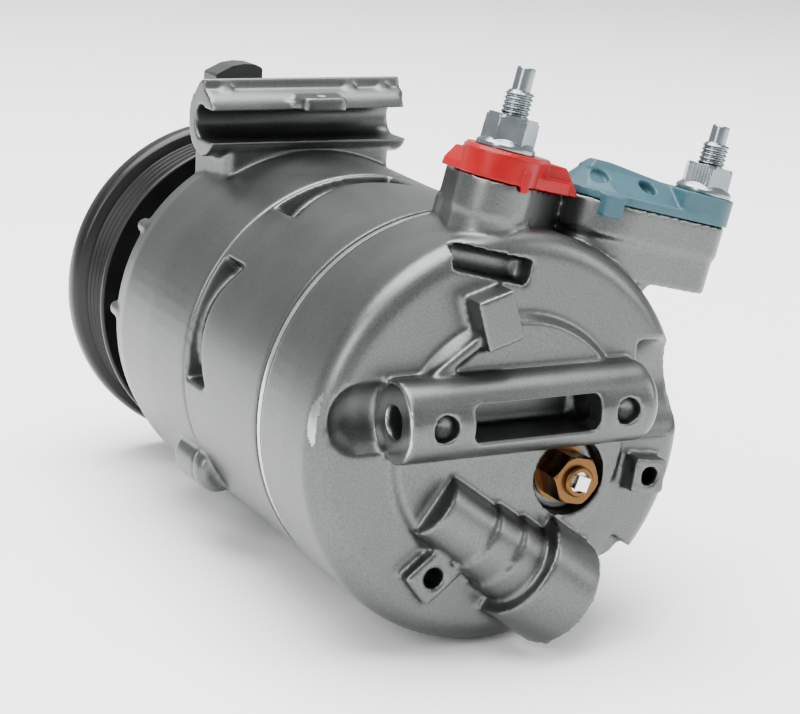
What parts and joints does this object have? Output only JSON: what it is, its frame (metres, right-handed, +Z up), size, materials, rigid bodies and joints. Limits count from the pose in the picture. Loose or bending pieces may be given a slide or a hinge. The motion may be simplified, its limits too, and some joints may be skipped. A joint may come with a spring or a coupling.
{
  "type": "ac_compressor",
  "caption": "Automotive AC compressor: swash plate pump with magnetic clutch pulley, aluminium casings, capped pipe ports, relief valve and mounting bars",
  "frame": {"origin": "on the axis of the rear mounting bore, in the middle of its wall at the machined end", "axes": "+X along the rear mounting bore towards its machined end, +Y along the shaft from the pulley to the rear head, +Z up towards the pipe ports"},
  "size_m": [0.1423, 0.2443, 0.1615],
  "materials": {
    "cast_alu": "satin die-cast aluminium, lightly shot-blasted",
    "turned_alu": "turned bright aluminium",
    "black_paint": "black cathodic paint",
    "steel": "ground steel",
    "spring_steel": "blued spring steel",
    "zinc_steel": "zinc-plated steel",
    "brass": "turned brass",
    "black_rubber": "black seal rubber",
    "gasket": "rubber-coated gasket sheet",
    "red_plastic": "moulded red plastic",
    "teal_plastic": "moulded blue-green plastic",
    "black_nylon": "glass-filled black nylon",
    "copper_resin": "copper winding potted in resin"
  },
  "bodies": {
    "casing": {"front_housing": "cast_alu", "cylinder_casing": "cast_alu", "rear_head": "cast_alu", "seam_o_ring": "black_rubber", "front_gasket": "gasket", "suction_reed_plate": "spring_steel", "valve_plate": "steel", "discharge_reed_plate": "spring_steel", "rear_gasket": "gasket", "through_bolts": "zinc_steel", "front_needle_cup": "steel", "bearing_needles": "steel", "rear_needle_cup": "steel", "shaft_lip_seal": "black_rubber", "snap_rings": "spring_steel", "front_thrust_bearing": "steel", "rear_thrust_spring": "spring_steel", "coil_shell": "zinc_steel", "coil_winding": "copper_resin", "coil_connector": "black_nylon", "pulley_bearing_inner_race": "steel", "control_valve": "turned_alu", "control_valve_o_rings": "black_rubber", "control_valve_snap_ring": "spring_steel", "relief_valve_body": "brass", "discharge_stud": "zinc_steel", "suction_stud": "zinc_steel"},
    "pulley_body": {"pulley": "black_paint", "pulley_bearing_outer_race": "steel", "pulley_bearing_balls": "steel", "pulley_bearing_seals": "black_rubber"},
    "shaft_body": {"drive_shaft": "steel", "lug_plate": "steel", "clutch_hub": "black_paint", "hub_rivets": "steel", "hub_nut": "zinc_steel", "clutch_leaf_springs": "spring_steel", "return_spring": "spring_steel"},
    "armature_body": {"armature_plate": "steel", "armature_rivets": "steel"},
    "swash_body": {"swash_plate": "steel", "guide_pins": "steel"},
    "relief_core_body": {"relief_valve_core": "zinc_steel"},
    "discharge_cap_body": {"discharge_cap": "red_plastic", "discharge_nut": "zinc_steel"},
    "suction_cap_body": {"suction_cap": "teal_plastic", "suction_nut": "zinc_steel"},
    "piston_1_body": {"piston_1": "turned_alu"},
    "shoes_1_body": {"shoes_1": "steel"},
    "piston_2_body": {"piston_2": "turned_alu"},
    "shoes_2_body": {"shoes_2": "steel"},
    "piston_3_body": {"piston_3": "turned_alu"},
    "shoes_3_body": {"shoes_3": "steel"},
    "piston_4_body": {"piston_4": "turned_alu"},
    "shoes_4_body": {"shoes_4": "steel"},
    "piston_5_body": {"piston_5": "turned_alu"},
    "shoes_5_body": {"shoes_5": "steel"},
    "piston_6_body": {"piston_6": "turned_alu"},
    "shoes_6_body": {"shoes_6": "steel"}
  },
  "joints": [
    {"name": "pulley_spin", "type": "hinge", "parent": "casing", "child": "pulley_body", "pos_m": [-0.029, -0.203, -0.0112], "axis": [0, 1, 0], "continuous": true},
    {"name": "shaft_spin", "type": "hinge", "parent": "casing", "child": "shaft_body", "pos_m": [-0.029, -0.115, -0.0112], "axis": [0, 1, 0], "range_deg": [-3600, 3600]},
    {"name": "armature_engage", "type": "slide", "parent": "shaft_body", "child": "armature_body", "axis": [0, 1, 0], "range_m": [0, 0.0004], "stiffness_N_per_m": 5000, "deforming": ["clutch_leaf_springs"]},
    {"name": "swash_tilt", "type": "hinge", "parent": "shaft_body", "child": "swash_body", "pos_m": [-0.03858, -0.115, 0.01828], "axis": [-0.9511, 0, -0.309], "range_deg": [0, 15], "deforming": ["return_spring"]},
    {"name": "relief_lift", "type": "slide", "parent": "casing", "child": "relief_core_body", "axis": [0, 1, 0], "range_m": [0, 0.001], "stiffness_N_per_m": 5000},
    {"name": "discharge_cap_off", "type": "slide", "parent": "casing", "child": "discharge_cap_body", "axis": [-0.2334, 0, 0.9724], "range_m": [0, 0.045]},
    {"name": "suction_cap_off", "type": "slide", "parent": "casing", "child": "suction_cap_body", "axis": [-0.2334, 0, 0.9724], "range_m": [0, 0.045]},
    {"name": "piston_1_stroke", "type": "slide", "parent": "casing", "child": "piston_1_body", "axis": [0, 1, 0], "range_m": [-0.00839, 0.0002]},
    {"name": "shoes_1_rock", "type": "hinge", "parent": "piston_1_body", "child": "shoes_1_body", "pos_m": [0.00048, -0.115, -0.00162], "axis": [-0.9511, 0, -0.309], "range_deg": [-0.5, 15.5]},
    {"name": "piston_2_stroke", "type": "slide", "parent": "casing", "child": "piston_2_body", "axis": [0, 1, 0], "range_m": [-0.00121, 0.0002]},
    {"name": "shoes_2_rock", "type": "hinge", "parent": "piston_2_body", "child": "shoes_2_body", "pos_m": [-0.02255, -0.115, 0.01912], "axis": [-0.9511, 0, -0.309], "range_deg": [-0.5, 15.5]},
    {"name": "piston_3_stroke", "type": "slide", "parent": "casing", "child": "piston_3_body", "axis": [0, 1, 0], "range_m": [-0.00121, 0.0002]},
    {"name": "shoes_3_rock", "type": "hinge", "parent": "piston_3_body", "child": "shoes_3_body", "pos_m": [-0.05204, -0.115, 0.00954], "axis": [-0.9511, 0, -0.309], "range_deg": [-0.5, 15.5]},
    {"name": "piston_4_stroke", "type": "slide", "parent": "casing", "child": "piston_4_body", "axis": [0, 1, 0], "range_m": [-0.00839, 0.0002]},
    {"name": "shoes_4_rock", "type": "hinge", "parent": "piston_4_body", "child": "shoes_4_body", "pos_m": [-0.05848, -0.115, -0.02078], "axis": [-0.9511, 0, -0.309], "range_deg": [-0.5, 15.5]},
    {"name": "piston_5_stroke", "type": "slide", "parent": "casing", "child": "piston_5_body", "axis": [0, 1, 0], "range_m": [-0.01556, 0.0002]},
    {"name": "shoes_5_rock", "type": "hinge", "parent": "piston_5_body", "child": "shoes_5_body", "pos_m": [-0.03544, -0.115, -0.04152], "axis": [-0.9511, 0, -0.309], "range_deg": [-0.5, 15.5]},
    {"name": "piston_6_stroke", "type": "slide", "parent": "casing", "child": "piston_6_body", "axis": [0, 1, 0], "range_m": [-0.01556, 0.0002]},
    {"name": "shoes_6_rock", "type": "hinge", "parent": "piston_6_body", "child": "shoes_6_body", "pos_m": [-0.00596, -0.115, -0.03194], "axis": [-0.9511, 0, -0.309], "range_deg": [-0.5, 15.5]}
  ],
  "couplings": [
    {"joint": "piston_1_stroke", "follows": "swash_tilt", "m_per_rad": -0.031651},
    {"joint": "shoes_1_rock", "follows": "swash_tilt", "ratio": 1},
    {"joint": "piston_2_stroke", "follows": "swash_tilt", "m_per_rad": -0.00424},
    {"joint": "shoes_2_rock", "follows": "swash_tilt", "ratio": 1},
    {"joint": "piston_3_stroke", "follows": "swash_tilt", "m_per_rad": -0.00424},
    {"joint": "shoes_3_rock", "follows": "swash_tilt", "ratio": 1},
    {"joint": "piston_4_stroke", "follows": "swash_tilt", "m_per_rad": -0.031651},
    {"joint": "shoes_4_rock", "follows": "swash_tilt", "ratio": 1},
    {"joint": "piston_5_stroke", "follows": "swash_tilt", "m_per_rad": -0.059062},
    {"joint": "shoes_5_rock", "follows": "swash_tilt", "ratio": 1},
    {"joint": "piston_6_stroke", "follows": "swash_tilt", "m_per_rad": -0.059062},
    {"joint": "shoes_6_rock", "follows": "swash_tilt", "ratio": 1}
  ]
}
